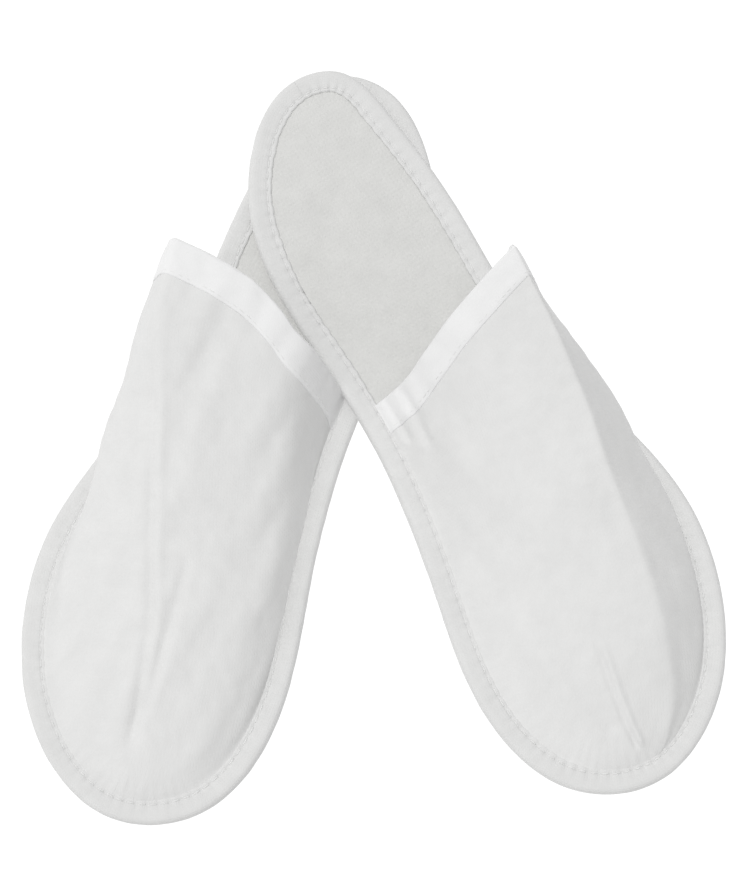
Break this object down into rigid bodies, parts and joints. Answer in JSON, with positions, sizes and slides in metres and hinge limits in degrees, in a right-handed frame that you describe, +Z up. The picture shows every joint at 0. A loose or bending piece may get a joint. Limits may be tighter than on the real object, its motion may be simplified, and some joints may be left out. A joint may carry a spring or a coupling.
{
  "type": "spa slippers",
  "caption": "Flat closed-toe spa slippers in white non-woven cloth, with bound foam soles and wide open heels, lying crossed at the heels.",
  "frame": {"origin": "on the floor, under the middle of the pair's bounding box", "axes": "+Z up, +Y from the toes to the heels, +X to the slipper whose heel lies on top"},
  "size_m": [0.2498, 0.2764, 0.0685],
  "materials": {
    "outsole_foam": "fine-grained, matte, white foamed EVA",
    "midsole_foam": "closed-cell white foam",
    "insole_cloth": "light grey-white non-woven with a faint point-bond pattern",
    "binding_tape": "white non-woven tape, slightly puckered at its stitches",
    "thread": "white polyester thread",
    "upper_cloth": "soft white non-woven, matte with a slight sheen",
    "lining_cloth": "thin white non-woven",
    "hem_tape": "bright white folded non-woven tape"
  },
  "bodies": {
    "left_slipper": {"left_outsole": "outsole_foam", "left_midsole": "midsole_foam", "left_insole_cover": "insole_cloth", "left_edge_binding": "binding_tape", "left_edge_stitching": "thread", "left_upper": "upper_cloth", "left_upper_lining": "lining_cloth", "left_throat_hem": "hem_tape", "left_hem_stitching": "thread"},
    "right_slipper": {"right_outsole": "outsole_foam", "right_midsole": "midsole_foam", "right_insole_cover": "insole_cloth", "right_edge_binding": "binding_tape", "right_edge_stitching": "thread", "right_upper": "upper_cloth", "right_upper_lining": "lining_cloth", "right_throat_hem": "hem_tape", "right_hem_stitching": "thread"}
  },
  "joints": [
    {"name": "right_slipper_lift", "type": "slide", "parent": "left_slipper", "child": "right_slipper", "axis": [0, 0, 1], "range_m": [0, 0.1]}
  ]
}
